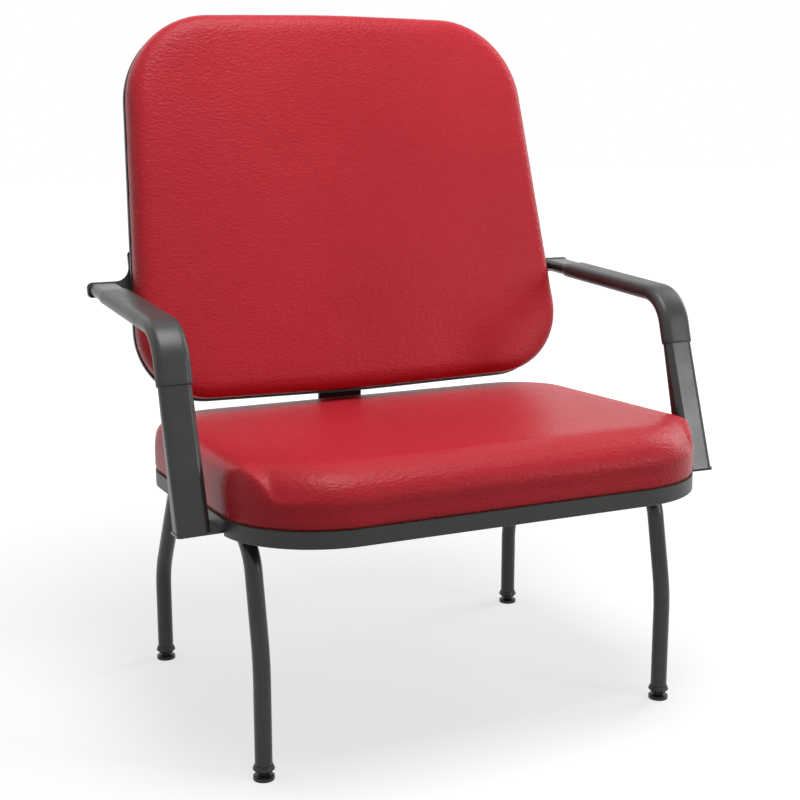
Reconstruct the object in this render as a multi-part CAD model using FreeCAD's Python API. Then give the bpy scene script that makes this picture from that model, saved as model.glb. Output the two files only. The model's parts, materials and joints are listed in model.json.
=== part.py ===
import FreeCAD, Part
import math
import os

from FreeCAD import Placement, Rotation, Vector

os.makedirs("parts", exist_ok=True)

# Wide reception armchair on four legs, in millimetres, standing on Z = 0.
# The sitter faces -Y. Left and right are those of a viewer in front: left is -X.

# Legs: one bent tube a side, two feet on each
LEG_INSET = 42.0
FRONT_FOOT_Y = -244.4
REAR_FOOT_Y = 252.6
LEG_DIAMETER = 25.4
LEG_WALL = 2.0
LEG_BOTTOM = 22.0
FRONT_KNEE_Z = 177.0
FRONT_LEAN = 11.9
FRONT_KNEE_RADIUS = 300.0
REAR_KNEE_Z = 159.0
REAR_LEAN = 30.3
REAR_KNEE_RADIUS = 120.0
SHOULDER_RADIUS = 60.0

# Cross rails under the seat
RAIL_WIDTH = 40.0
RAIL_HEIGHT = 25.0
RAIL_WALL = 2.0
RAIL_GAP = 12.0
RAIL_BOLT_X = 180.0
WELD_GAP = 0.2

# Seat: tray, board, foam and cover, all on a plane that falls to the rear.
# The tray's skirt hangs below its floor and hides the plates.
SEAT_Z = 356.2
SEAT_TILT = 2.2
SEAT_HALF_WIDTH = 377.0
SEAT_FRONT_Y = -355.5
SEAT_REAR_Y = 221.5
SEAT_FRONT_CORNER = 150.0
SEAT_REAR_CORNER = 115.0
SEAT_RIM = 15.2
SEAT_SKIRT = 9.0
SEAT_RIM_ROUND = 2.0
SEAT_BOARD = 12.0
SEAT_THICKNESS = 89.5
SEAT_FRONT_ROLL = 112.0
SEAT_FRONT_POWER = 2.0
SEAT_FRONT_WALL = 0.48
SEAT_SIDE_ROLL = 60.0
SEAT_SIDE_POWER = 5.0
SEAT_TOP_CORNER = 45.0

# Back: the same layers, leaning on a plane of its own
USED_DEPTH = 487.7
BACK_GAP = 25.5
BACK_TILT = 15.0
BACK_HEIGHT = 642.0
BACK_TOP_HALF = 349.0
BACK_BOTTOM_HALF = 388.0
BACK_TOP_RISE = 7.0
BACK_BOTTOM_DROP = 7.0
BACK_TOP_CORNER = 150.0
BACK_BOTTOM_CORNER = 115.0
BACK_EDGE_ARC = 3000.0
BACK_RIM = 13.0
BACK_SKIRT = 0.0
BACK_RIM_ROUND = 6.0
BACK_BOARD = 9.0
BACK_THICKNESS = 58.0
BACK_ROLL = 45.0
BACK_POWER = 4.0
BACK_FACE_CORNER = 60.0

# Layers that seat and back share
TRAY_WALL = 3.0
BOARD_GAP = 0.5
COVER = 2.0
FOAM_GAP = 0.3
DRAW_IN = 1.4
BULGE_HEIGHT = 8.0
LOFT_DEGREE = 2

# Flat steel: arm plates under the seat, arm plates behind the back, and the blade
PLATE = 4.0
PLATE_BEARING = 45.0
PLATE_INNER_LAP = 45.0
PLATE_EDGE = 1.0
PLATE_CORNER = 6.0
NOTCH_GAP = 1.0
PLATE_BOLT_EDGE = 16.0
BACK_PLATE = 5.0
BACK_PLATE_LAP = 85.0
BACK_PLATE_INSET = 2.0
BACK_PLATE_ABOVE = 60.0
BACK_PLATE_BELOW = 60.0
BACK_PLATE_FILLET = 24.0
BACK_PLATE_CORNER = 12.0
BACK_TONGUE_CORNER = 8.0
BACK_PLATE_BOLT_EDGE = 24.0
BLADE = 6.0
BLADE_WIDTH = 80.0
BLADE_GAP = 51.0
BLADE_FOOT = 125.0
BLADE_LAP = 150.0
BLADE_BEND = 45.0
BLADE_TOP_BEND = 80.0
BLADE_BOLT_X = 22.0
BLADE_BOLT_EDGE = 25.0
BLADE_SEAT_BOLT_STEP = 65.0
BLADE_BACK_BOLT_STEP = 80.0

# Arms: a bent tube with rounded sides in a padded sleeve, and a post that deepens to its foot
ARM_GAP = 3.2
ARM_WIDTH = 48.0
ARM_DEPTH = 20.0
ARM_CORNER = 9.8
ARM_WALL = 2.0
ARM_HEIGHT = 273.8
ARM_RISE = 2.05
ARM_BEND = 60.0
POST_FOOT_Y = -203.0
POST_LEAN = 17.4
POST_FOOT_WIDTH = 48.0
POST_FOOT_DEPTH = 34.0
PAD_WALL = 2.0
PAD_FIT = 0.2
PAD_DROP = 76.0
PAD_REAR_GAP = 65.0

# Bolts and tee nuts, thread M6
BOLT_RADIUS = 3.0
BOLT_HOLE = 0.5
BOLT_FLANGE_RADIUS = 7.0
BOLT_FLANGE = 1.5
BOLT_HEX = 10.0
BOLT_HEAD = 5.5
BOLT_SHORT_OF_FACE = 1.0
NUT_BARREL_RADIUS = 4.5
NUT_BARREL = 8.0
NUT_FLANGE_RADIUS = 9.5
NUT_FLANGE = 1.5
NUT_FIT = 0.2

# Feet: a plug pressed into the leg, and a screw that turns in a floor disc
DISC_RADIUS = 15.4
DISC_EDGE = 5.0
DISC_HEIGHT = 7.0
DISC_CROWN_RADIUS = 9.0
DISC_FLOOR = 3.0
STEM_RADIUS = 4.0
STEM_TOP = 48.0
STEM_PIN_RADIUS = 2.5
NECK_RADIUS = 7.0
NECK_TOP = 11.2
STEM_CLEARANCE = 0.3
PLUG_LENGTH = 28.0
PLUG_FIT = 0.1
COLLAR_BASE = 11.5
COLLAR_BASE_RADIUS = 12.0
COLLAR_WIDEST = 16.0
COLLAR_RADIUS = 16.0
COLLAR_TOP_RADIUS = 13.6

# Worked out from the sizes above
LEG_RADIUS = LEG_DIAMETER / 2
FOOT_X = SEAT_HALF_WIDTH - LEG_INSET
PAD_SIDE = PAD_WALL + PAD_FIT
ARM_X = max(SEAT_HALF_WIDTH, BACK_BOTTOM_HALF) + ARM_GAP + ARM_WIDTH / 2 + PAD_SIDE
ARM_CORNER_Z = SEAT_Z + ARM_HEIGHT
ACROSS = Vector(1, 0, 0)
UP = Vector(0, 0, 1)
SEAT_PLACE = Placement(Vector(0, 0, SEAT_Z), Rotation(ACROSS, -SEAT_TILT))
BACK_TURN = Rotation(ACROSS, 90 - BACK_TILT)


def on_seat(x, y, z):
    """A point given on the seat's own plane, in the chair's frame."""
    return SEAT_PLACE.multVec(Vector(x, y, z))


def back_placement():
    """The back's own frame: x across, y up the back, z from its rear face to the sitter."""
    lower_edge = on_seat(0, SEAT_FRONT_Y + USED_DEPTH, SEAT_THICKNESS)
    lower_edge.z += BACK_GAP
    return Placement(lower_edge - BACK_TURN.multVec(Vector(0, 0, BACK_THICKNESS)), BACK_TURN)


BACK_PLACE = back_placement()


def placed(shape, placement):
    """A copy of a shape, moved from a local frame into the chair's frame."""
    return shape.transformed(placement.toMatrix(), True)


def corner_arc(before, corner, after, radius):
    """The tangent arc that rounds one corner: its first, middle and last points."""
    into = (corner - before).normalize()
    out = (after - corner).normalize()
    half_turn = into.getAngle(out) / 2
    reach = radius * math.tan(half_turn)
    inward = (out - into).normalize()
    centre = corner + inward * (radius / math.cos(half_turn))
    return corner - into * reach, centre - inward * radius, corner + out * reach


def bent_path(points, radii):
    """Straight runs joined by tangent arcs, one radius for each inner point."""
    edges = []
    start = points[0]
    for before, corner, after, radius in zip(points, points[1:], points[2:], radii):
        first, middle, last = corner_arc(before, corner, after, radius)
        edges.append(Part.LineSegment(start, first).toShape())
        edges.append(Part.Arc(first, middle, last).toShape())
        start = last
    edges.append(Part.LineSegment(start, points[-1]).toShape())
    return Part.Wire(edges)


def rounded_outline(points, radii):
    """A closed outline of straight edges with each corner rounded."""
    count = len(points)
    arcs = []
    for i in range(count):
        arcs.append(corner_arc(points[i - 1], points[i], points[(i + 1) % count], radii[i]))
    edges = []
    for i in range(count):
        first, middle, last = arcs[i]
        edges.append(Part.Arc(first, middle, last).toShape())
        edges.append(Part.LineSegment(last, arcs[(i + 1) % count][0]).toShape())
    return Part.Wire(edges)


def section(centre, along_width, along_depth, width, depth, radius):
    """A rounded rectangle about a centre, for a sweep or a loft."""
    half_width = along_width * (width / 2)
    half_depth = along_depth * (depth / 2)
    points = [
        centre - half_width - half_depth,
        centre + half_width - half_depth,
        centre + half_width + half_depth,
        centre - half_width + half_depth,
    ]
    return rounded_outline(points, [radius] * 4)


def swept(path, outline):
    """A solid bar that follows a path."""
    return path.makePipe(Part.Face(outline))


def prism(outline, low, high):
    """An outline drawn on z = 0, raised from one height to another."""
    face = Part.Face(outline)
    face.translate(Vector(0, 0, low))
    return face.extrude(Vector(0, 0, high - low))


def drilled(shape, spots, radius, low, high):
    """A shape with a round hole along z at each spot."""
    for x, y in spots:
        shape = shape.cut(Part.makeCylinder(radius, high - low, Vector(x, y, low)))
    return shape


def export(name, shape):
    """One piece, written to a file of its own."""
    if not shape.isValid():
        raise ValueError(name + " is not a valid shape")
    shape.exportStep(os.path.join("parts", name + ".step"))


def inset_outline(corners, insets, smallest, height):
    """A rounded outline with each edge moved inward by its own distance, at one height."""
    count = len(corners)
    lines = []
    for i in range(count):
        x0, y0, _ = corners[i]
        x1, y1, _ = corners[(i + 1) % count]
        length = math.hypot(x1 - x0, y1 - y0)
        normal_x = (y0 - y1) / length
        normal_y = (x1 - x0) / length
        lines.append((normal_x, normal_y, normal_x * x0 + normal_y * y0 + insets[i]))
    points = []
    radii = []
    for i in range(count):
        ax, ay, a = lines[i - 1]
        bx, by, b = lines[i]
        cross = ax * by - ay * bx
        points.append(Vector((a * by - b * ay) / cross, (ax * b - bx * a) / cross, height))
        radii.append(max(corners[i][2] - max(insets[i - 1], insets[i]), smallest))
    return rounded_outline(points, radii)


def roll_inset(share, roll, power, wall):
    """How far an edge has rolled in at a share of the padding's height, above its upright wall."""
    rolled = max(share - wall, 0.0) / (1 - wall)
    return roll * (1 - (1 - rolled ** power) ** (1 / power))


def cushion(corners, rolls, top_corner, foot, rim, top, skin):
    """A padded block on a tray: drawn in at the rim, fullest just above it, rolled to a crown.

    The skin is how far the whole surface lies inside the outermost one.
    """
    shares = (0.0, 0.3, 0.55, 0.75, 0.88, 0.955, 0.99)
    bulge = rim + BULGE_HEIGHT
    draw = DRAW_IN * (bulge - foot) / BULGE_HEIGHT
    wires = [inset_outline(corners, [draw + skin] * len(corners), top_corner, foot)]
    for share in shares:
        insets = [roll_inset(share, *roll) + skin for roll in rolls]
        height = bulge + (top - skin - bulge) * share / shares[-1]
        wires.append(inset_outline(corners, insets, top_corner, height))
    return Part.makeLoft(wires, True, False, False, LOFT_DEGREE)


def upholstered(corners, rolls, top_corner, sizes, spots):
    """The tray, board, foam and cover of one pad, lying flat with its tray's floor on z = 0."""
    rim, skirt, rim_round, board, thickness = sizes
    level = [0.0] * len(corners)
    tray = prism(inset_outline(corners, level, top_corner, 0), -skirt, rim)
    lower_edges = [edge for edge in tray.Edges if max(v.Z for v in edge.Vertexes) < TRAY_WALL / 2 - skirt]
    tray = tray.makeFillet(rim_round, lower_edges)
    hollow = inset_outline(corners, [TRAY_WALL] * len(corners), top_corner, 0)
    tray = tray.cut(prism(hollow, TRAY_WALL, rim + TRAY_WALL))
    if skirt:
        tray = tray.cut(prism(hollow, -2 * skirt, 0))
    tray = drilled(tray, spots, BOLT_RADIUS + BOLT_HOLE, -TRAY_WALL, 2 * TRAY_WALL)

    board_top = TRAY_WALL + board
    inside = [TRAY_WALL + BOARD_GAP] * len(corners)
    panel = prism(inset_outline(corners, inside, top_corner, 0), TRAY_WALL, board_top)
    panel = drilled(panel, spots, NUT_BARREL_RADIUS + NUT_FIT, 0, board_top + TRAY_WALL)
    panel = drilled(panel, spots, NUT_FLANGE_RADIUS + NUT_FIT, board_top - NUT_FLANGE, board_top + NUT_FLANGE)

    foam = cushion(corners, rolls, top_corner, board_top, rim, thickness, COVER + FOAM_GAP)
    outer = cushion(corners, rolls, top_corner, rim, rim, thickness, 0.0)
    cover = outer.cut(cushion(corners, rolls, top_corner, board_top, rim, thickness, COVER))
    return tray, panel, foam, cover


def bolt(x, y, bearing, end):
    """A flanged hex bolt along z, its head under the bearing plane."""
    flange = Part.makeCylinder(BOLT_FLANGE_RADIUS, BOLT_FLANGE, Vector(x, y, bearing - BOLT_FLANGE))
    points = []
    for i in range(7):
        angle = math.radians(60 * i)
        reach = BOLT_HEX / 2 / math.cos(math.radians(30))
        points.append(Vector(x + reach * math.cos(angle), y + reach * math.sin(angle), bearing - BOLT_HEAD))
    head = Part.Face(Part.makePolygon(points)).extrude(Vector(0, 0, BOLT_HEAD - BOLT_FLANGE))
    shank = Part.makeCylinder(BOLT_RADIUS, end - bearing, Vector(x, y, bearing))
    return flange.fuse([head, shank]).removeSplitter()


def tee_nut(x, y, board_top):
    """A tee nut let into the board's upper face, open along z for its bolt."""
    flange = Part.makeCylinder(NUT_FLANGE_RADIUS, NUT_FLANGE, Vector(x, y, board_top - NUT_FLANGE))
    barrel = Part.makeCylinder(NUT_BARREL_RADIUS, NUT_BARREL, Vector(x, y, board_top - NUT_BARREL))
    nut = flange.fuse(barrel)
    return drilled(nut, [(x, y)], BOLT_RADIUS + BOLT_HOLE, board_top - 2 * NUT_BARREL, board_top + NUT_FLANGE)


def group(solids, placement):
    """Separate solids kept together as one piece of the record."""
    return placed(Part.makeCompound(solids), placement)


# The legs' line in the Y-Z plane of one side
def leg_corner(foot_y, knee_z, lean):
    """Where a leg's leaning part would meet the run under the seat."""
    slope = math.tan(math.radians(lean)) * (1 if foot_y < 0 else -1)
    fall = math.tan(math.radians(SEAT_TILT))
    run_at_zero = on_seat(0, 0, -PLATE - LEG_RADIUS)
    height = run_at_zero.z + fall * run_at_zero.y
    y = (foot_y + slope * (height - knee_z)) / (1 + slope * fall)
    return Vector(0, y, height - fall * y)


FRONT_CORNER = leg_corner(FRONT_FOOT_Y, FRONT_KNEE_Z, FRONT_LEAN)
REAR_CORNER = leg_corner(REAR_FOOT_Y, REAR_KNEE_Z, REAR_LEAN)


def leg_points(x):
    offset = Vector(x, 0, 0)
    points = [
        Vector(0, FRONT_FOOT_Y, LEG_BOTTOM),
        Vector(0, FRONT_FOOT_Y, FRONT_KNEE_Z),
        FRONT_CORNER,
        REAR_CORNER,
        Vector(0, REAR_FOOT_Y, REAR_KNEE_Z),
        Vector(0, REAR_FOOT_Y, LEG_BOTTOM),
    ]
    return [point + offset for point in points]


def leg_frame(x):
    points = leg_points(x)
    radii = [FRONT_KNEE_RADIUS, SHOULDER_RADIUS, SHOULDER_RADIUS, REAR_KNEE_RADIUS]
    path = bent_path(points, radii)
    outer = swept(path, Part.Wire(Part.Circle(points[0], UP, LEG_RADIUS).toShape()))
    inner = swept(path, Part.Wire(Part.Circle(points[0], UP, LEG_RADIUS - LEG_WALL).toShape()))
    return outer.cut(inner)


# Places along the seat's own plane
SHOULDER_END = corner_arc(Vector(0, FRONT_FOOT_Y, FRONT_KNEE_Z), FRONT_CORNER, REAR_CORNER, SHOULDER_RADIUS)[2]
PLATE_REAR_Y = SEAT_PLACE.inverse().multVec(SHOULDER_END).y + PLATE_BEARING
FRONT_RAIL_Y = PLATE_REAR_Y + RAIL_GAP + RAIL_WIDTH / 2
BLADE_FRONT_Y = SEAT_REAR_Y - BLADE_FOOT
REAR_RAIL_Y = BLADE_FRONT_Y - RAIL_GAP - RAIL_WIDTH / 2
PLATE_INNER_X = FOOT_X - PLATE_INNER_LAP


def cross_rail(y):
    """A rectangular tube between the two leg tubes, coped over them at its ends."""
    outer = Part.makeBox(2 * FOOT_X, RAIL_WIDTH, RAIL_HEIGHT, Vector(-FOOT_X, y - RAIL_WIDTH / 2, -RAIL_HEIGHT))
    bore = Part.makeBox(
        2 * FOOT_X,
        RAIL_WIDTH - 2 * RAIL_WALL,
        RAIL_HEIGHT - 2 * RAIL_WALL,
        Vector(-FOOT_X, y - RAIL_WIDTH / 2 + RAIL_WALL, RAIL_WALL - RAIL_HEIGHT),
    )
    rail = outer.cut(bore)
    for x in (-FOOT_X, FOOT_X):
        start = Vector(x, y - RAIL_WIDTH, -PLATE - LEG_RADIUS)
        rail = rail.cut(Part.makeCylinder(LEG_RADIUS + WELD_GAP, 2 * RAIL_WIDTH, start, Vector(0, 1, 0)))
    rail = drilled(rail, rail_bolts(y), BOLT_RADIUS + BOLT_HOLE, -2 * RAIL_HEIGHT, RAIL_HEIGHT)
    return placed(rail, SEAT_PLACE)


def rail_bolts(y):
    return [(-RAIL_BOLT_X, y), (RAIL_BOLT_X, y)]


def plate_bolts():
    """The bolts of the two arm plates, inboard of the leg tubes."""
    x = PLATE_INNER_X + PLATE_BOLT_EDGE
    front = POST_FOOT_Y + PLATE_BOLT_EDGE
    rear = PLATE_REAR_Y - PLATE_BOLT_EDGE
    return [(side * x, y) for side in (-1, 1) for y in (front, rear)]


def notched(tray):
    """The seat's tray with its skirt cut away where the arm plates and the blade pass."""
    plate = prism(plate_outline(NOTCH_GAP), -2 * SEAT_SKIRT, 0)
    width = BLADE_WIDTH + 2 * NOTCH_GAP
    corner = Vector(-width / 2, SEAT_REAR_Y - 2 * TRAY_WALL, -2 * SEAT_SKIRT)
    blade = Part.makeBox(width, 3 * TRAY_WALL, 2 * SEAT_SKIRT, corner)
    return tray.cut([plate, plate.mirror(Vector(0, 0, 0), ACROSS), blade])


def blade_seat_bolts():
    first = BLADE_FRONT_Y + BLADE_BOLT_EDGE
    return [(x, y) for x in (-BLADE_BOLT_X, BLADE_BOLT_X) for y in (first, first + BLADE_SEAT_BOLT_STEP)]


def seat_corners():
    return [
        (-SEAT_HALF_WIDTH, SEAT_FRONT_Y, SEAT_FRONT_CORNER),
        (SEAT_HALF_WIDTH, SEAT_FRONT_Y, SEAT_FRONT_CORNER),
        (SEAT_HALF_WIDTH, SEAT_REAR_Y, SEAT_REAR_CORNER),
        (-SEAT_HALF_WIDTH, SEAT_REAR_Y, SEAT_REAR_CORNER),
    ]


def back_corners():
    """The back's outline, up its own plane, with a slight bow in its top and bottom edges."""
    top = BACK_HEIGHT - BACK_TOP_RISE
    return [
        (0, 0, BACK_EDGE_ARC),
        (BACK_BOTTOM_HALF, BACK_BOTTOM_DROP, BACK_BOTTOM_CORNER),
        (BACK_TOP_HALF, top, BACK_TOP_CORNER),
        (0, BACK_HEIGHT, BACK_EDGE_ARC),
        (-BACK_TOP_HALF, top, BACK_TOP_CORNER),
        (-BACK_BOTTOM_HALF, BACK_BOTTOM_DROP, BACK_BOTTOM_CORNER),
    ]


# The arms' line: post foot, bend and rear end
POST_UP = Vector(0, math.sin(math.radians(POST_LEAN)), math.cos(math.radians(POST_LEAN)))
POST_BACK = Vector(0, math.cos(math.radians(POST_LEAN)), -math.sin(math.radians(POST_LEAN)))
RUN_BACK = Vector(0, math.cos(math.radians(ARM_RISE)), math.sin(math.radians(ARM_RISE)))
RUN_UP = Vector(0, -math.sin(math.radians(ARM_RISE)), math.cos(math.radians(ARM_RISE)))
POST_FOOT = on_seat(ARM_X, POST_FOOT_Y, 0)
ARM_BEND_POINT = POST_FOOT + POST_UP * ((ARM_CORNER_Z - POST_FOOT.z) / POST_UP.z)
POST_TOP = ARM_BEND_POINT - POST_UP * PAD_DROP


def arm_rear_end():
    """Where the arm's middle line meets the plane behind the back."""
    rear_normal = BACK_TURN.multVec(UP)
    reach = (BACK_PLACE.Base - ARM_BEND_POINT).dot(rear_normal) / RUN_BACK.dot(rear_normal)
    return ARM_BEND_POINT + RUN_BACK * reach


ARM_REAR = arm_rear_end()
ARM_ON_BACK = BACK_PLACE.inverse().multVec(ARM_REAR)


def arm_sweep(rear, grow):
    """The arm's rounded bar from a rear point round the bend to the top of the post."""
    path = bent_path([rear, ARM_BEND_POINT, POST_TOP], [ARM_BEND])
    width = ARM_WIDTH + 2 * grow
    depth = ARM_DEPTH + 2 * grow
    return swept(path, section(rear, ACROSS, RUN_UP, width, depth, ARM_CORNER + grow))


def post_loft(grow):
    """The post from the pad's end to its wider foot on the plate."""
    seat_back = SEAT_PLACE.Rotation.multVec(Vector(0, 1, 0))
    foot_depth = (POST_FOOT_DEPTH + 2 * grow) / POST_BACK.dot(seat_back)
    foot_width = POST_FOOT_WIDTH + 2 * grow
    radius = ARM_CORNER + grow
    top = section(POST_TOP, ACROSS, POST_BACK, ARM_WIDTH + 2 * grow, ARM_DEPTH + 2 * grow, radius)
    foot = section(POST_FOOT, ACROSS, seat_back, foot_width, foot_depth, radius)
    return Part.makeLoft([foot, top], True, True)


def arm_tube():
    """The right arm's tube, cut off at the plane behind the back."""
    past_back = ARM_REAR + RUN_BACK * ARM_WIDTH
    bar = arm_sweep(past_back, 0.0).cut(arm_sweep(past_back, -ARM_WALL))
    size = 4 * ARM_WIDTH
    beyond = Part.makeBox(size, size, size, Vector(ARM_ON_BACK.x - size / 2, ARM_ON_BACK.y - size / 2, -size))
    bar = bar.cut(placed(beyond, BACK_PLACE))
    post = post_loft(0.0).cut(post_loft(-ARM_WALL))
    return bar.fuse(post).removeSplitter()


def arm_pad():
    """The right arm's padded sleeve over the bend and most of the run."""
    rear = ARM_REAR - RUN_BACK * PAD_REAR_GAP
    return arm_sweep(rear, PAD_SIDE).cut(arm_sweep(rear, PAD_FIT))


def plate_outline(gap):
    """The right arm plate's outline on the seat's plane, grown by a gap."""
    outer = ARM_X + POST_FOOT_WIDTH / 2 + PLATE_EDGE
    half = POST_FOOT_DEPTH / 2 + PLATE_EDGE
    corners = [
        (PLATE_INNER_X, POST_FOOT_Y - half / 2, PLATE_CORNER),
        (outer, POST_FOOT_Y - half, PLATE_CORNER),
        (outer, POST_FOOT_Y + half, PLATE_CORNER),
        (PLATE_INNER_X, PLATE_REAR_Y, PLATE_CORNER),
    ]
    return inset_outline(corners, [-gap] * 4, PLATE_CORNER, 0)


def arm_seat_plate():
    """The right arm's plate: from under the post to the leg tube and the seat board."""
    plate = prism(plate_outline(0.0), -PLATE, 0)
    right = [spot for spot in plate_bolts() if spot[0] > 0]
    return placed(drilled(plate, right, BOLT_RADIUS + BOLT_HOLE, -2 * PLATE, PLATE), SEAT_PLACE)


def back_edge_x(height):
    """The back's half width at a height up its plane."""
    span = BACK_HEIGHT - BACK_TOP_RISE - BACK_BOTTOM_DROP
    return BACK_BOTTOM_HALF + (BACK_TOP_HALF - BACK_BOTTOM_HALF) * (height - BACK_BOTTOM_DROP) / span


def back_plate_bolts():
    x = back_edge_x(ARM_ON_BACK.y) - BACK_PLATE_LAP + BACK_PLATE_BOLT_EDGE
    high = ARM_ON_BACK.y + BACK_PLATE_ABOVE - BACK_PLATE_BOLT_EDGE
    low = ARM_ON_BACK.y - BACK_PLATE_BELOW + BACK_PLATE_BOLT_EDGE
    return [(side * x, y) for side in (-1, 1) for y in (low, high)]


def arm_back_plate():
    """The right arm's rear plate: a tongue behind the arm that flares to a bolted leaf."""
    edge = back_edge_x(ARM_ON_BACK.y)
    tip = ARM_X + ARM_WIDTH / 2 + PAD_SIDE + PLATE_EDGE
    half = ARM_DEPTH / 2 + PAD_SIDE
    root = edge - BACK_PLATE_INSET
    inner = edge - BACK_PLATE_LAP
    middle = ARM_ON_BACK.y
    corners = [
        (tip, middle - half, BACK_TONGUE_CORNER),
        (tip, middle + half, BACK_TONGUE_CORNER),
        (root, middle + half, BACK_PLATE_FILLET),
        (root, middle + BACK_PLATE_ABOVE, BACK_PLATE_CORNER / 2),
        (inner, middle + BACK_PLATE_ABOVE, BACK_PLATE_CORNER),
        (inner, middle - BACK_PLATE_BELOW, BACK_PLATE_CORNER),
        (root, middle - BACK_PLATE_BELOW, BACK_PLATE_CORNER),
        (root, middle - half, BACK_PLATE_FILLET),
    ]
    outline = rounded_outline([Vector(x, y, 0) for x, y, _ in corners], [radius for _, _, radius in corners])
    plate = prism(outline, -BACK_PLATE, 0)
    right = [spot for spot in back_plate_bolts() if spot[0] > 0]
    return placed(drilled(plate, right, BOLT_RADIUS + BOLT_HOLE, -2 * BACK_PLATE, BACK_PLATE), BACK_PLACE)


# The blade's line: under the seat, up behind it, then along the back's rear face
BLADE_Y = SEAT_REAR_Y + BLADE_GAP


def blade_meets_back():
    """How far up the back's plane the upright reaches it."""
    middle = BACK_PLACE.multVec(Vector(0, 0, -BLADE / 2))
    return (BLADE_Y - middle.y) / BACK_TURN.multVec(Vector(0, 1, 0)).y


BLADE_MEETS = blade_meets_back()
BLADE_TOP = BLADE_MEETS + BLADE_LAP


def blade_back_bolts():
    last = BLADE_TOP - BLADE_BOLT_EDGE
    return [(x, y) for x in (-BLADE_BOLT_X, BLADE_BOLT_X) for y in (last - BLADE_BACK_BOLT_STEP, last)]


def back_blade():
    """A flat bar bent from the seat's underside to the rear face of the back."""
    front = on_seat(0, BLADE_FRONT_Y, -BLADE / 2)
    along = SEAT_PLACE.Rotation.multVec(Vector(0, 1, 0))
    lower = front + along * ((BLADE_Y - front.y) / along.y)
    upper = BACK_PLACE.multVec(Vector(0, BLADE_MEETS, -BLADE / 2))
    top = BACK_PLACE.multVec(Vector(0, BLADE_TOP, -BLADE / 2))
    path = bent_path([front, lower, upper, top], [BLADE_BEND, BLADE_TOP_BEND])
    half_width = ACROSS * (BLADE_WIDTH / 2)
    half_depth = SEAT_PLACE.Rotation.multVec(UP) * (BLADE / 2)
    corners = [
        front - half_width - half_depth,
        front + half_width - half_depth,
        front + half_width + half_depth,
        front - half_width + half_depth,
    ]
    blade = swept(path, Part.makePolygon(corners + corners[:1]))
    radius = BOLT_RADIUS + BOLT_HOLE
    for spots, placement in ((blade_seat_bolts(), SEAT_PLACE), (blade_back_bolts(), BACK_PLACE)):
        for x, y in spots:
            hole = Part.makeCylinder(radius, 3 * BLADE, Vector(x, y, -2 * BLADE))
            blade = blade.cut(placed(hole, placement))
    return blade


def turned(profile, x, y):
    """A solid of revolution about a vertical line, from (radius, height) points."""
    points = [Vector(x + radius, y, height) for radius, height in profile]
    face = Part.Face(Part.makePolygon(points + points[:1]))
    return face.revolve(Vector(x, y, 0), UP, 360)


def foot_plug(x, y):
    """The plug in the leg's end, with the collar that shows below it and the screw's bore."""
    bore = STEM_RADIUS + STEM_CLEARANCE
    plug = LEG_RADIUS - LEG_WALL - PLUG_FIT
    return turned(
        [
            (bore, COLLAR_BASE),
            (COLLAR_BASE_RADIUS, COLLAR_BASE),
            (COLLAR_RADIUS, COLLAR_WIDEST),
            (COLLAR_TOP_RADIUS, LEG_BOTTOM),
            (plug, LEG_BOTTOM),
            (plug, LEG_BOTTOM + PLUG_LENGTH),
            (bore, LEG_BOTTOM + PLUG_LENGTH),
        ],
        x,
        y,
    )


def foot_stem(x, y):
    """The levelling screw: a pin in the disc, a neck and the threaded part."""
    return turned(
        [
            (0, DISC_FLOOR + STEM_CLEARANCE),
            (STEM_PIN_RADIUS, DISC_FLOOR + STEM_CLEARANCE),
            (STEM_PIN_RADIUS, DISC_HEIGHT),
            (NECK_RADIUS, DISC_HEIGHT),
            (NECK_RADIUS, NECK_TOP),
            (STEM_RADIUS, NECK_TOP),
            (STEM_RADIUS, STEM_TOP),
            (0, STEM_TOP),
        ],
        x,
        y,
    )


def foot_disc(x, y):
    """The disc on the floor, with a blind hole for the screw's pin."""
    hole = STEM_PIN_RADIUS + STEM_CLEARANCE
    return turned(
        [
            (0, 0),
            (DISC_RADIUS, 0),
            (DISC_RADIUS, DISC_EDGE),
            (DISC_CROWN_RADIUS, DISC_HEIGHT),
            (hole, DISC_HEIGHT),
            (hole, DISC_FLOOR),
            (0, DISC_FLOOR),
        ],
        x,
        y,
    )


def export_pair(name, right):
    """A right-hand piece and its mirror image."""
    export(name + "_right", right)
    export(name + "_left", right.mirror(Vector(0, 0, 0), ACROSS))


def make_base():
    for side, x in (("left", -FOOT_X), ("right", FOOT_X)):
        export("leg_frame_" + side, leg_frame(x))
        for end, y in (("front", FRONT_FOOT_Y), ("rear", REAR_FOOT_Y)):
            place = end + "_" + side
            export("foot_plug_" + place, foot_plug(x, y))
            export("foot_stem_" + place, foot_stem(x, y))
            export("foot_disc_" + place, foot_disc(x, y))
    export("cross_rail_front", cross_rail(FRONT_RAIL_Y))
    export("cross_rail_rear", cross_rail(REAR_RAIL_Y))


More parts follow.
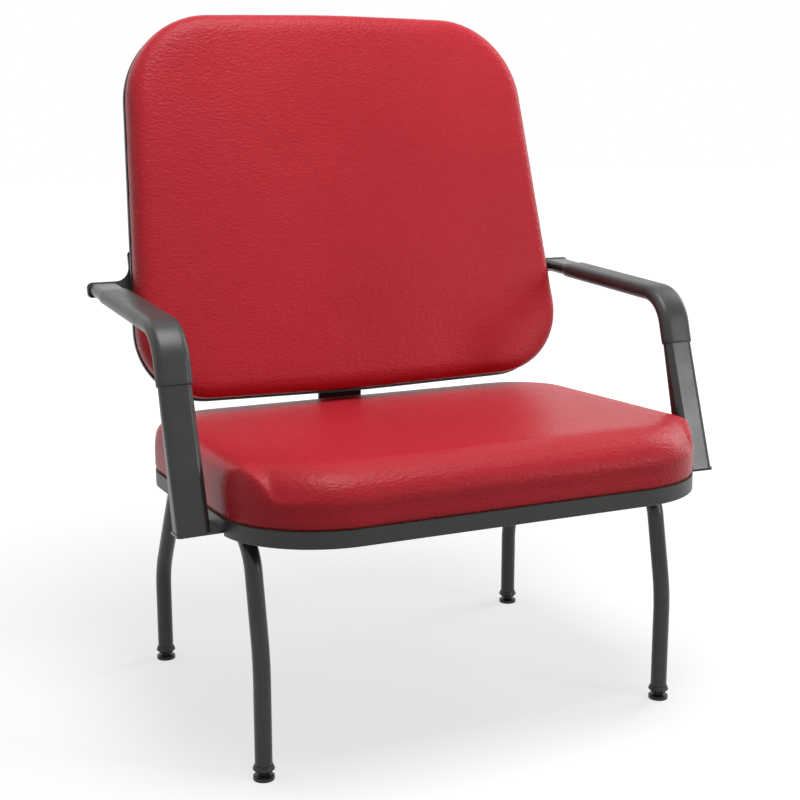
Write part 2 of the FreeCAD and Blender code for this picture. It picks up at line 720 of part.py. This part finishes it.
def make_seat():
    rail_spots = rail_bolts(FRONT_RAIL_Y) + rail_bolts(REAR_RAIL_Y)
    spots = rail_spots + plate_bolts() + blade_seat_bolts()
    front = (SEAT_FRONT_ROLL, SEAT_FRONT_POWER, SEAT_FRONT_WALL)
    side = (SEAT_SIDE_ROLL, SEAT_SIDE_POWER, 0.0)
    sizes = (SEAT_RIM, SEAT_SKIRT, SEAT_RIM_ROUND, SEAT_BOARD, SEAT_THICKNESS)
    layers = upholstered(seat_corners(), [front, side, side, side], SEAT_TOP_CORNER, sizes, spots)
    layers = (notched(layers[0]),) + layers[1:]
    for name, shape in zip(("seat_tray", "seat_board", "seat_foam", "seat_cover"), layers):
        export(name, placed(shape, SEAT_PLACE))
    board_top = TRAY_WALL + SEAT_BOARD
    end = board_top - BOLT_SHORT_OF_FACE
    export("seat_tee_nuts", group([tee_nut(x, y, board_top) for x, y in spots], SEAT_PLACE))
    export("rail_bolts", group([bolt(x, y, -RAIL_HEIGHT, end) for x, y in rail_spots], SEAT_PLACE))
    export("arm_seat_bolts", group([bolt(x, y, -PLATE, end) for x, y in plate_bolts()], SEAT_PLACE))
    export("blade_seat_bolts", group([bolt(x, y, -BLADE, end) for x, y in blade_seat_bolts()], SEAT_PLACE))


def make_back():
    spots = blade_back_bolts() + back_plate_bolts()
    roll = (BACK_ROLL, BACK_POWER, 0.0)
    sizes = (BACK_RIM, BACK_SKIRT, BACK_RIM_ROUND, BACK_BOARD, BACK_THICKNESS)
    layers = upholstered(back_corners(), [roll] * 6, BACK_FACE_CORNER, sizes, spots)
    for name, shape in zip(("back_tray", "back_board", "back_foam", "back_cover"), layers):
        export(name, placed(shape, BACK_PLACE))
    board_top = TRAY_WALL + BACK_BOARD
    end = board_top - BOLT_SHORT_OF_FACE
    export("back_tee_nuts", group([tee_nut(x, y, board_top) for x, y in spots], BACK_PLACE))
    export("blade_back_bolts", group([bolt(x, y, -BLADE, end) for x, y in blade_back_bolts()], BACK_PLACE))
    export("arm_back_bolts", group([bolt(x, y, -BACK_PLATE, end) for x, y in back_plate_bolts()], BACK_PLACE))
    export("back_blade", back_blade())


def make_arms():
    export_pair("arm_tube", arm_tube())
    export_pair("arm_pad", arm_pad())
    export_pair("arm_seat_plate", arm_seat_plate())
    export_pair("arm_back_plate", arm_back_plate())


make_base()
make_seat()
make_back()
make_arms()
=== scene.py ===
import json
import math

import bmesh
import bpy
import numpy as np
from mathutils import Euler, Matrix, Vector


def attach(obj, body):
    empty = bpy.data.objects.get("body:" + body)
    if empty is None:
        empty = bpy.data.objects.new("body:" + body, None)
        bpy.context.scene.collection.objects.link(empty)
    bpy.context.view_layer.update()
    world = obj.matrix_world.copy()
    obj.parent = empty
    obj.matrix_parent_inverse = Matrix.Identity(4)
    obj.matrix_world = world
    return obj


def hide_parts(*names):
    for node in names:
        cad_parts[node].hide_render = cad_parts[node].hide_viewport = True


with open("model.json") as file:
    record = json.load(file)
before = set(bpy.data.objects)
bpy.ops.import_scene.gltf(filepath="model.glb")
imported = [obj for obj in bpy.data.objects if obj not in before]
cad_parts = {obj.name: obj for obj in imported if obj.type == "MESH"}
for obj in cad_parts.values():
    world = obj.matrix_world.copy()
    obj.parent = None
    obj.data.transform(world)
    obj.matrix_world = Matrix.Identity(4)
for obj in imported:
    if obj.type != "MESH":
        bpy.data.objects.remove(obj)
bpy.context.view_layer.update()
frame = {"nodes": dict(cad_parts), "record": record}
nodes = frame["nodes"]
scene = bpy.context.scene
BODY = "chair"

# The pads' own planes: a point on the tray's floor, the way out of the pad, and the rim's height
SEAT_POINT = Vector((0.0, 0.0, 0.3562))
SEAT_OUT = Vector((0.0, 0.03839, 0.99926))
SEAT_RIM = 0.0152
BACK_POINT = Vector((0.0, 0.19156, 0.45105))
BACK_OUT = Vector((0.0, -0.96593, 0.25882))
BACK_RIM = 0.013

# The cover: how thick it lies on the foam, its gap over the rim, and how it is drawn in just above
COVER = 0.0023
RIM_GAP = 0.0004
RIM_TUCK = 0.0006
TUCK_HEIGHT = 0.007

# The seat cushion's outline and top, measured in the pad's own plane
SEAT_HALF_WIDTH = 0.377
SEAT_FRONT = 0.3555
SEAT_REAR = 0.2215
SEAT_CORNER = 0.150
SEAT_REAR_CORNER = 0.115
SEAT_TOP_FRONT = 0.0965
SEAT_TOP_REAR = 0.0920

# How the seat's cover rolls down at its edges: the depth in from the outline, and the height
FRONT_ROLL = (0.062, 0.045)
SIDE_ROLL = (0.030, 0.030)
FOLD_ROLL = (0.075, 0.065)
FOLD_BACK = 0.044
CORNER_ROLL = (0.012, 0.012)
REAR_ROLL = (0.006, 0.006)

# Only what faces out of the seat is moved, from none at the first share to all over the range
FACING_START = 0.1
FACING_RANGE = 0.4
BACK_TUCK = 0.003

# The cushions' mesh, and the rounds that even out the moves above
WELD_DISTANCE = 0.00005
VOXEL_SIZE = 0.005
RELAX_FACTOR = 0.5
RELAX_ROUNDS = 2
SHAPE_ROUNDS = 4

# The cloth that swells the cushions
CLOTH_FRAMES = 20
CLOTH_QUALITY = 3
CLOTH_PRESSURE = 4.0
CLOTH_STIFFNESS = 25.0
CLOTH_BENDING = 2.0
HELD_HEIGHT = 0.003

# What is kept of the swelling: a limit, the rounds that even it out, the height over which it
# grows from the rim, and the share of it at a pad's sides
SWELL_LIMIT = 0.003
SWELL_ROUNDS = 40
SWELL_FADE = 0.012
SEAT_SIDE_SHARE = 1.0
BACK_SIDE_SHARE = 0.3

# The right arm's middle line, from its rear end round the bend to the sleeve's end on the post
ARM_X = 0.4174
ARM_REAR = Vector((ARM_X, 0.24299, 0.64297))
ARM_CORNER = Vector((ARM_X, -0.11949, 0.63000))
ARM_POST = Vector((ARM_X, -0.14222, 0.55748))
ARM_BEND = 0.060
RUN_STEPS = 12
BEND_STEPS = 16
POST_STEPS = 4

# The sleeve's section, and its two ends: each ring's way along the line and how far it is drawn in
SLEEVE_WIDTH = 0.0524
SLEEVE_DEPTH = 0.0244
SLEEVE_CORNER = 0.0121
CORNER_STEPS = 6
SLEEVE_REAR_GAP = 0.065
SLEEVE_REAR_END = ((0.0, 0.0050), (0.0010, 0.0024), (0.0028, 0.0008), (0.0056, 0.0))
SLEEVE_POST_END = ((0.0012, 0.0004), (0.0020, 0.0012), (0.0022, 0.0024))

# Finishes: a dark and a light shade, and a low and a high roughness
LEATHER_SHADES = ((0.425, 0.018, 0.028), (0.505, 0.026, 0.038))
LEATHER_ROUGH = (0.30, 0.40)
LEATHER_GLOSS = 0.14
ZINC_SHADES = ((0.45, 0.46, 0.47), (0.60, 0.61, 0.62))
ZINC_ROUGH = (0.28, 0.42)
PLYWOOD_SHADES = ((0.42, 0.28, 0.15), (0.62, 0.46, 0.29))
PLYWOOD_ROUGH = (0.55, 0.75)
SATIN_BLACKS = {
    "black_frame": dict(greys=(0.022, 0.029), rough=(0.22, 0.30), grain=900.0, depth=0.0001, gloss=0.46),
    "black_shell": dict(greys=(0.026, 0.034), rough=(0.36, 0.46), grain=1600.0, depth=0.0002, gloss=0.38),
    "arm_sleeve": dict(greys=(0.030, 0.040), rough=(0.32, 0.42), grain=1300.0, depth=0.0002, gloss=0.40),
    "black_bolts": dict(greys=(0.014, 0.020), rough=(0.28, 0.36), grain=700.0, depth=0.0001, gloss=0.40),
    "foot_plastic": dict(greys=(0.018, 0.024), rough=(0.34, 0.44), grain=1200.0, depth=0.0002, gloss=0.40),
}

# A noise lies mostly between these two values
NOISE_LOW = 0.3
NOISE_HIGH = 0.7

# The studio: a floor that glows white for the camera, less so near the chair, and the light of the world
WHITE = (1.0, 1.0, 1.0, 1.0)
FLOOR_HALF = 14.0
FLOOR_GREY = (0.42, 0.42, 0.42, 1.0)
GLOW_NEAR = 0.7
GLOW_FAR = 2.6
GLOW_LEAST = 0.66
WORLD_LIGHT = 0.19

# Lamps: place, width, height and power
LAMP_TARGET = (0.0, 0.0, 0.6)
LAMPS = {
    "key": ((0.05, -0.62, 2.9), 1.5, 1.5, 56.5),
    "front": ((2.17, -2.49, 1.27), 0.5, 0.9, 14.5),
    "right": ((2.6, 0.4, 1.9), 1.2, 2.2, 25.0),
    "left": ((-2.6, 0.6, 1.6), 1.0, 2.2, 5.0),
    "rear": ((-1.6, 2.2, 2.8), 1.8, 1.2, 8.0),
}

# Camera that matches the photograph
CAMERA_PLACE = (-0.96355, -2.05415, 0.953)
CAMERA_TURN = (math.radians(78.02), 0.0, math.radians(-24.93))
CAMERA_LENS = 65.43
CAMERA_SENSOR = 36.0


# Node helpers
def bare_tree(owner, output):
    """The node tree of a material or a world with nothing but its output, and the surface input."""
    owner.use_nodes = True
    tree = owner.node_tree
    tree.nodes.clear()
    return tree, tree.nodes.new(output).inputs["Surface"]


def new_material(name):
    material = bpy.data.materials.new(name)
    tree, surface = bare_tree(material, "ShaderNodeOutputMaterial")
    shader = tree.nodes.new("ShaderNodeBsdfPrincipled")
    tree.links.new(shader.outputs["BSDF"], surface)
    return material, tree, shader


def add_node(tree, kind, links=None, **settings):
    """A node with its settings, and its inputs linked or set."""
    node = tree.nodes.new(kind)
    for name, value in settings.items():
        setattr(node, name, value)
    for name, value in (links or {}).items():
        if isinstance(value, bpy.types.NodeSocket):
            tree.links.new(value, node.inputs[name])
        else:
            node.inputs[name].default_value = value
    return node


def object_space(tree, stretch=(1.0, 1.0, 1.0)):
    """The piece's own coordinates, stretched so that a pattern takes the wanted proportions."""
    place = add_node(tree, "ShaderNodeTexCoord").outputs["Object"]
    return add_node(tree, "ShaderNodeMapping", {"Vector": place, "Scale": stretch}).outputs["Vector"]


def noise(tree, vector, scale, detail=3.0, roughness=0.5):
    links = {"Vector": vector, "Scale": scale, "Detail": detail, "Roughness": roughness}
    return add_node(tree, "ShaderNodeTexNoise", links).outputs["Fac"]


def combine(tree, operation, first, second):
    return add_node(tree, "ShaderNodeMath", {0: first, 1: second}, operation=operation).outputs["Value"]


def weighted(tree, *parts):
    """The sum of some values, each times its weight."""
    scaled = [combine(tree, "MULTIPLY", value, weight) for value, weight in parts]
    total = scaled[0]
    for value in scaled[1:]:
        total = combine(tree, "ADD", total, value)
    return total


def coloured(tree, shader, value, dark, light):
    """A base colour between two shades."""
    ramp = add_node(tree, "ShaderNodeValToRGB", {"Fac": value})
    first, last = ramp.color_ramp.elements
    first.position = NOISE_LOW
    first.color = (*dark, 1.0)
    last.position = NOISE_HIGH
    last.color = (*light, 1.0)
    tree.links.new(ramp.outputs["Color"], shader.inputs["Base Color"])


def roughened(tree, shader, value, low, high):
    """A roughness between two limits."""
    links = {"Value": value, "From Min": NOISE_LOW, "From Max": NOISE_HIGH, "To Min": low, "To Max": high}
    spread = add_node(tree, "ShaderNodeMapRange", links)
    tree.links.new(spread.outputs["Result"], shader.inputs["Roughness"])


def bumped(tree, shader, height, strength, distance):
    bump = add_node(tree, "ShaderNodeBump", {"Height": height, "Strength": strength, "Distance": distance})
    tree.links.new(bump.outputs["Normal"], shader.inputs["Normal"])


# Materials
def leather():
    """Red synthetic leather: flat pebbles drawn out sideways, fine pores and a soft sheen."""
    material, tree, shader = new_material("red_leather")
    drawn_out = object_space(tree, (0.55, 1.0, 1.0))
    even = object_space(tree)
    cells = {"Vector": drawn_out, "Scale": 300.0, "Randomness": 1.0}
    pebbles = add_node(tree, "ShaderNodeTexVoronoi", cells, feature="SMOOTH_F1").outputs["Distance"]
    mottle = noise(tree, drawn_out, scale=90.0, detail=2.0)
    wrinkles = noise(tree, object_space(tree, (0.30, 1.0, 1.0)), scale=210.0, detail=4.0, roughness=0.6)
    pores = noise(tree, even, scale=1500.0, detail=2.0)
    patches = noise(tree, even, scale=3.2, detail=2.0)
    coloured(tree, shader, weighted(tree, (patches, 0.75), (mottle, 0.25)), *LEATHER_SHADES)
    roughened(tree, shader, wrinkles, *LEATHER_ROUGH)
    relief = weighted(tree, (pebbles, 1.4), (wrinkles, 0.5), (pores, 0.12))
    bumped(tree, shader, relief, strength=0.42, distance=0.0012)
    shader.inputs["Specular IOR Level"].default_value = LEATHER_GLOSS
    return material


def satin_black(name, greys, rough, grain, depth, gloss):
    """Dark satin paint or plastic with a fine skin and faint handling marks."""
    material, tree, shader = new_material(name)
    even = object_space(tree)
    skin = noise(tree, even, scale=grain)
    marks = noise(tree, even, scale=14.0, detail=4.0, roughness=0.6)
    dark, light = greys
    coloured(tree, shader, marks, (dark,) * 3, (light,) * 3)
    roughened(tree, shader, marks, *rough)
    bumped(tree, shader, skin, strength=0.25, distance=depth)
    shader.inputs["Specular IOR Level"].default_value = gloss
    return material


def zinc():
    """Bright zinc on steel, with faint streaks."""
    material, tree, shader = new_material("zinc_steel")
    streaks = noise(tree, object_space(tree, (1.0, 1.0, 0.15)), scale=400.0)
    coloured(tree, shader, streaks, *ZINC_SHADES)
    roughened(tree, shader, streaks, *ZINC_ROUGH)
    shader.inputs["Metallic"].default_value = 1.0
    return material


def plywood():
    """Pale birch plywood with a long grain."""
    material, tree, shader = new_material("plywood")
    grain = noise(tree, object_space(tree, (0.08, 1.0, 1.0)), scale=60.0, detail=5.0, roughness=0.6)
    coloured(tree, shader, grain, *PLYWOOD_SHADES)
    roughened(tree, shader, grain, *PLYWOOD_ROUGH)
    bumped(tree, shader, grain, strength=0.2, distance=0.0005)
    return material


def make_materials():
    materials = {"red_leather": leather(), "zinc_steel": zinc(), "plywood": plywood()}
    for name, finish in SATIN_BLACKS.items():
        materials[name] = satin_black(name, **finish)
    return materials


# Mesh helpers
def add_object(name, mesh):
    piece = bpy.data.objects.new(name, mesh)
    scene.collection.objects.link(piece)
    return piece


def only_active(piece):
    for other in bpy.context.selected_objects:
        other.select_set(False)
    piece.select_set(True)
    bpy.context.view_layer.objects.active = piece


def apply_all(piece):
    only_active(piece)
    for modifier in list(piece.modifiers):
        bpy.ops.object.modifier_apply(modifier=modifier.name)


def points_of(mesh):
    points = np.empty(len(mesh.vertices) * 3)
    mesh.vertices.foreach_get("co", points)
    return points.reshape(-1, 3)


def normals_of(mesh):
    normals = np.empty(len(mesh.vertices) * 3)
    mesh.vertices.foreach_get("normal", normals)
    return normals.reshape(-1, 3)


def set_points(mesh, points):
    mesh.vertices.foreach_set("co", points.ravel())
    mesh.update()


def evened(mesh, values, rounds):
    """Values on the points, drawn level with their neighbours as a taut cover does."""
    pairs = np.empty(len(mesh.edges) * 2, dtype=int)
    mesh.edges.foreach_get("vertices", pairs)
    first, second = pairs.reshape(-1, 2).T
    size = len(values)
    count = np.bincount(pairs, minlength=size)
    for _ in range(rounds):
        total = np.bincount(first, values[second], size) + np.bincount(second, values[first], size)
        values = 0.5 * values + 0.5 * total / count
    return values


# The cushions' shapes
def drop(inset, roll):
    """How far a rolled edge lies below the top, by the distance from the outline."""
    depth, height = roll
    short = 1 - np.clip(inset / depth, 0.0, 1.0)
    return height * (1 - np.sqrt(1 - short * short))


def corner_inset(first, second, radius):
    """The distance from a round corner of the outline, by the distances from its two edges."""
    return radius - np.hypot(np.maximum(radius - first, 0.0), np.maximum(radius - second, 0.0))


def front_drop(front, side):
    """The front roll: it follows the round corners as far as a fold, and runs straight beyond it."""
    into = np.clip(SEAT_CORNER - side, 0.0, SEAT_CORNER)
    back = np.minimum(SEAT_CORNER - np.sqrt(SEAT_CORNER ** 2 - into ** 2), FOLD_BACK)
    share = back / FOLD_BACK
    depth = FRONT_ROLL[0] + (FOLD_ROLL[0] - FRONT_ROLL[0]) * share
    height = FRONT_ROLL[1] + (FOLD_ROLL[1] - FRONT_ROLL[1]) * share
    return drop(front - back, (depth, height))


def fuller_seat(points, normals):
    """The seat's cover stands fuller over the front edge and the sides than the foam does."""
    out = np.array(SEAT_OUT)
    local = points - np.array(SEAT_POINT)
    along = local @ np.array((0.0, SEAT_OUT.z, -SEAT_OUT.y))
    front = along + SEAT_FRONT
    side = SEAT_HALF_WIDTH - np.abs(local[:, 0])
    rear = SEAT_REAR - along
    share = np.clip(front / (SEAT_FRONT + SEAT_REAR), 0.0, 1.0)
    top = SEAT_TOP_FRONT + (SEAT_TOP_REAR - SEAT_TOP_FRONT) * share
    rolls = (
        front_drop(front, side),
        drop(side, SIDE_ROLL),
        drop(corner_inset(front, side, SEAT_CORNER), CORNER_ROLL),
        drop(rear, REAR_ROLL),
        drop(corner_inset(rear, side, SEAT_REAR_CORNER), SIDE_ROLL),
    )
    facing = np.clip((normals @ out - FACING_START) / FACING_RANGE, 0.0, 1.0)
    return points + np.outer((top - np.max(rolls, axis=0) - local @ out) * facing, out)


def tucked_back(points, normals):
    """The back's cover is drawn in along its lower edge, so that the tray shows below it."""
    up = np.array((0.0, BACK_OUT.z, -BACK_OUT.y))
    return points + np.outer(np.clip(-normals @ up, 0.0, 1.0) * BACK_TUCK, up)


# Cushions
def foam_block(name, foam):
    """The foam's own shape as one even mesh."""
    piece = add_object(name, nodes[foam].data.copy())
    piece.modifiers.new("weld", "WELD").merge_threshold = WELD_DISTANCE
    remesh = piece.modifiers.new("remesh", "REMESH")
    remesh.mode = "VOXEL"
    remesh.voxel_size = VOXEL_SIZE
    relax = piece.modifiers.new("relax", "SMOOTH")
    relax.factor = RELAX_FACTOR
    relax.iterations = RELAX_ROUNDS
    apply_all(piece)
    return piece


def height_of(points, point, out):
    """How far the points lie above the tray's floor."""
    return (points - np.array(point)) @ np.array(out)


def covered(mesh, point, out, rim):
    """The cover's points on the foam, kept above the tray's rim, and their heights before that."""
    foam_height = height_of(points_of(mesh), point, out)
    tuck = RIM_TUCK * np.clip(1 - (foam_height - rim) / TUCK_HEIGHT, 0.0, 1.0)
    points = points_of(mesh) + normals_of(mesh) * (COVER - tuck)[:, None]
    height = height_of(points, point, out)
    points += np.outer(np.maximum(rim + RIM_GAP - height, 0.0), np.array(out))
    return points, height


def swell(piece, held):
    """Some frames of cloth under inner pressure, with the held points pinned."""
    group = piece.vertex_groups.new(name="held")
    group.add([int(i) for i in np.flatnonzero(held)], 1.0, "REPLACE")
    cloth = piece.modifiers.new("cloth", "CLOTH")
    cloth.settings.vertex_group_mass = "held"
    cloth.settings.quality = CLOTH_QUALITY
    cloth.settings.use_pressure = True
    cloth.settings.uniform_pressure_force = CLOTH_PRESSURE
    cloth.settings.tension_stiffness = CLOTH_STIFFNESS
    cloth.settings.compression_stiffness = CLOTH_STIFFNESS
    cloth.settings.bending_stiffness = CLOTH_BENDING
    cloth.settings.effector_weights.gravity = 0.0
    cloth.point_cache.frame_start = 1
    cloth.point_cache.frame_end = CLOTH_FRAMES
    for step in range(1, CLOTH_FRAMES + 1):
        scene.frame_set(step)
    apply_all(piece)
    piece.vertex_groups.clear()
    scene.frame_set(1)


def subdivide(piece):
    """One level of subdivision, shaded smooth."""
    grow = piece.modifiers.new("smooth", "SUBSURF")
    grow.levels = 1
    grow.render_levels = 1
    apply_all(piece)
    for polygon in piece.data.polygons:
        polygon.use_smooth = True


def cushion(name, foam, point, out, rim, side_share, shaped):
    """The upholstered pad: the foam's block, covered, then swollen by cloth that is held at the rim."""
    piece = foam_block(name, foam)
    start, height = covered(piece.data, point, out, rim)
    moves = shaped(start, normals_of(piece.data)) - start
    start += np.stack([evened(piece.data, axis, SHAPE_ROUNDS) for axis in moves.T], axis=1)
    set_points(piece.data, start)
    normals = normals_of(piece.data)
    swell(piece, height < rim + HELD_HEIGHT)
    rise = np.sum((points_of(piece.data) - start) * normals, axis=1)
    limited = SWELL_LIMIT * np.tanh(np.maximum(rise, 0.0) / SWELL_LIMIT)
    rise = evened(piece.data, limited, SWELL_ROUNDS)
    rise *= np.clip((height - rim) / SWELL_FADE, 0.0, 1.0)
    rise *= side_share + (1 - side_share) * np.maximum(normals @ np.array(out), 0.0)
    set_points(piece.data, start + normals * rise[:, None])
    subdivide(piece)
    return piece


# Arm sleeves
def arm_line():
    """Points and directions along the sleeve's middle line, from its rear end to its end on the post."""
    run = (ARM_CORNER - ARM_REAR).normalized()
    post = (ARM_POST - ARM_CORNER).normalized()
    half_turn = run.angle(post) / 2
    reach = ARM_BEND * math.tan(half_turn)
    start = ARM_REAR + run * SLEEVE_REAR_GAP
    first = ARM_CORNER - run * reach
    last = ARM_CORNER + post * reach
    centre = first - Vector((0.0, run.z, -run.y)) * ARM_BEND
    line = []
    for i in range(RUN_STEPS + 1):
        line.append((start.lerp(first, i / RUN_STEPS), run))
    for i in range(1, BEND_STEPS):
        turn = Euler((2 * half_turn * i / BEND_STEPS, 0.0, 0.0)).to_matrix()
        line.append((centre + turn @ (first - centre), turn @ run))
    for i in range(POST_STEPS + 1):
        line.append((last.lerp(ARM_POST, i / POST_STEPS), post))
    return line


def sleeve_ring(centre, along, shrink):
    """The sleeve's section, a rounded rectangle square to the line, drawn in by the shrink."""
    up = Vector((1.0, 0.0, 0.0)).cross(along).normalized()
    corner = SLEEVE_CORNER - shrink
    half_width = (SLEEVE_WIDTH - 2 * shrink) / 2 - corner
    half_depth = (SLEEVE_DEPTH - 2 * shrink) / 2 - corner
    ring = []
    for sx, sy, first in ((1, 1, 0), (-1, 1, 90), (-1, -1, 180), (1, -1, 270)):
        for i in range(CORNER_STEPS + 1):
            angle = math.radians(first + 90 * i / CORNER_STEPS)
            across = sx * half_width + corner * math.cos(angle)
            rise = sy * half_depth + corner * math.sin(angle)
            ring.append(centre + Vector((across, 0.0, 0.0)) + up * rise)
    return ring


def sleeve_rings():
    """The right sleeve's rings, with a rolled rear end and a lip on the post."""
    line = arm_line()
    start, run = line[0]
    last, post = line[-1]
    rings = [sleeve_ring(start + run * into, run, shrink) for into, shrink in SLEEVE_REAR_END]
    rings += [sleeve_ring(centre, along, 0.0) for centre, along in line[1:]]
    rings += [sleeve_ring(last + post * beyond, post, shrink) for beyond, shrink in SLEEVE_POST_END]
    return rings


def arm_sleeve(name, side):
    """The sleeve on one arm: a soft rounded skin over the rings, closed at both ends."""
    made = bmesh.new()
    layers = []
    for ring in sleeve_rings():
        layers.append([made.verts.new((side * p.x, p.y, p.z)) for p in ring])
    count = len(layers[0])
    for lower, upper in zip(layers, layers[1:]):
        for i in range(count):
            after = (i + 1) % count
            made.faces.new((lower[i], lower[after], upper[after], upper[i]))
    made.faces.new(layers[0][::-1])
    made.faces.new(layers[-1])
    bmesh.ops.recalc_face_normals(made, faces=made.faces)
    mesh = bpy.data.meshes.new(name)
    made.to_mesh(mesh)
    made.free()
    for polygon in mesh.polygons:
        polygon.use_smooth = len(polygon.vertices) == 4
    return add_object(name, mesh)


# Studio
def seen(tree, unseen):
    """One for what the camera, a reflection or glass shows, and another value for light."""
    path = add_node(tree, "ShaderNodeLightPath")
    shown = combine(tree, "MAXIMUM", path.outputs["Is Camera Ray"], path.outputs["Is Glossy Ray"])
    shown = combine(tree, "MAXIMUM", shown, path.outputs["Is Transmission Ray"])
    links = {"Value": shown, "To Min": unseen, "To Max": 1.0}
    return add_node(tree, "ShaderNodeMapRange", links).outputs["Result"]


def floor_material():
    """Grey paint for the lamps' light, and a white glow for the camera."""
    material = bpy.data.materials.new("floor")
    tree, surface = bare_tree(material, "ShaderNodeOutputMaterial")
    paint = add_node(tree, "ShaderNodeBsdfDiffuse", {"Color": FLOOR_GREY})
    place = add_node(tree, "ShaderNodeTexCoord").outputs["Object"]
    away = add_node(tree, "ShaderNodeVectorMath", {0: place}, operation="LENGTH").outputs["Value"]
    links = {"Value": away, "From Min": GLOW_NEAR, "From Max": GLOW_FAR, "To Min": GLOW_LEAST, "To Max": 1.0}
    white = add_node(tree, "ShaderNodeMapRange", links, interpolation_type="SMOOTHSTEP").outputs["Result"]
    strength = combine(tree, "MULTIPLY", white, seen(tree, 0.0))
    glow = add_node(tree, "ShaderNodeEmission", {"Color": WHITE, "Strength": strength})
    both = add_node(tree, "ShaderNodeAddShader", {0: paint.outputs[0], 1: glow.outputs[0]})
    tree.links.new(both.outputs[0], surface)
    return material


def make_floor():
    mesh = bpy.data.meshes.new("floor")
    corners = [(x * FLOOR_HALF, y * FLOOR_HALF, 0.0) for x, y in ((-1, -1), (1, -1), (1, 1), (-1, 1))]
    mesh.from_pydata(corners, [], [(0, 1, 2, 3)])
    mesh.materials.append(floor_material())
    floor = add_object("floor", mesh)


def make_world():
    world = bpy.data.worlds.new("studio")
    scene.world = world
    tree, surface = bare_tree(world, "ShaderNodeOutputWorld")
    sky = add_node(tree, "ShaderNodeBackground", {"Color": WHITE, "Strength": seen(tree, WORLD_LIGHT)})
    tree.links.new(sky.outputs[0], surface)


def make_lamp(name, place, width, height, power):
    light = bpy.data.lights.new(name, "AREA")
    light.shape = "RECTANGLE"
    light.size = width
    light.size_y = height
    light.energy = power
    lamp = add_object(name, light)
    lamp.location = place
    lamp.rotation_euler = (Vector(LAMP_TARGET) - Vector(place)).to_track_quat("-Z", "Y").to_euler()


def make_camera():
    data = bpy.data.cameras.new("camera")
    data.sensor_width = CAMERA_SENSOR
    data.lens = CAMERA_LENS
    camera = add_object("camera", data)
    camera.location = CAMERA_PLACE
    camera.rotation_euler = CAMERA_TURN
    scene.camera = camera


def make_studio():
    scene.view_settings.view_transform = "Standard"
    make_world()
    make_floor()
    for name, settings in LAMPS.items():
        make_lamp(name, *settings)
    make_camera()


# Putting the chair together
def finish_piece(piece, material, slot, *replaced):
    piece.data.materials.clear()
    piece.data.materials.append(material)
    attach(piece, BODY)
    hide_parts(*replaced)


def dress_nodes(materials):
    """The solids that stay in view take their slot's finish, and the levelling screws a blackened one."""
    slots = {entry["node"]: entry["material_slot"] for entry in frame["record"]["subparts"]}
    for name, piece in nodes.items():
        slot = "black_bolts" if name.startswith("foot_stem") else slots[name]
        if slot in materials:
            piece.data.materials.clear()
            piece.data.materials.append(materials[slot])


def make_chair(materials):
    dress_nodes(materials)
    red = materials["red_leather"]
    seat = cushion("seat_cushion", "seat_foam", SEAT_POINT, SEAT_OUT, SEAT_RIM, SEAT_SIDE_SHARE, fuller_seat)
    finish_piece(seat, red, "red_leather", "seat_cover", "seat_foam")
    back = cushion("back_cushion", "back_foam", BACK_POINT, BACK_OUT, BACK_RIM, BACK_SIDE_SHARE, tucked_back)
    finish_piece(back, red, "red_leather", "back_cover", "back_foam")
    for side, word in ((-1, "left"), (1, "right")):
        sleeve = arm_sleeve("arm_sleeve_" + word, side)
        finish_piece(sleeve, materials["arm_sleeve"], "arm_sleeve", "arm_pad_" + word)


make_studio()
make_chair(make_materials())
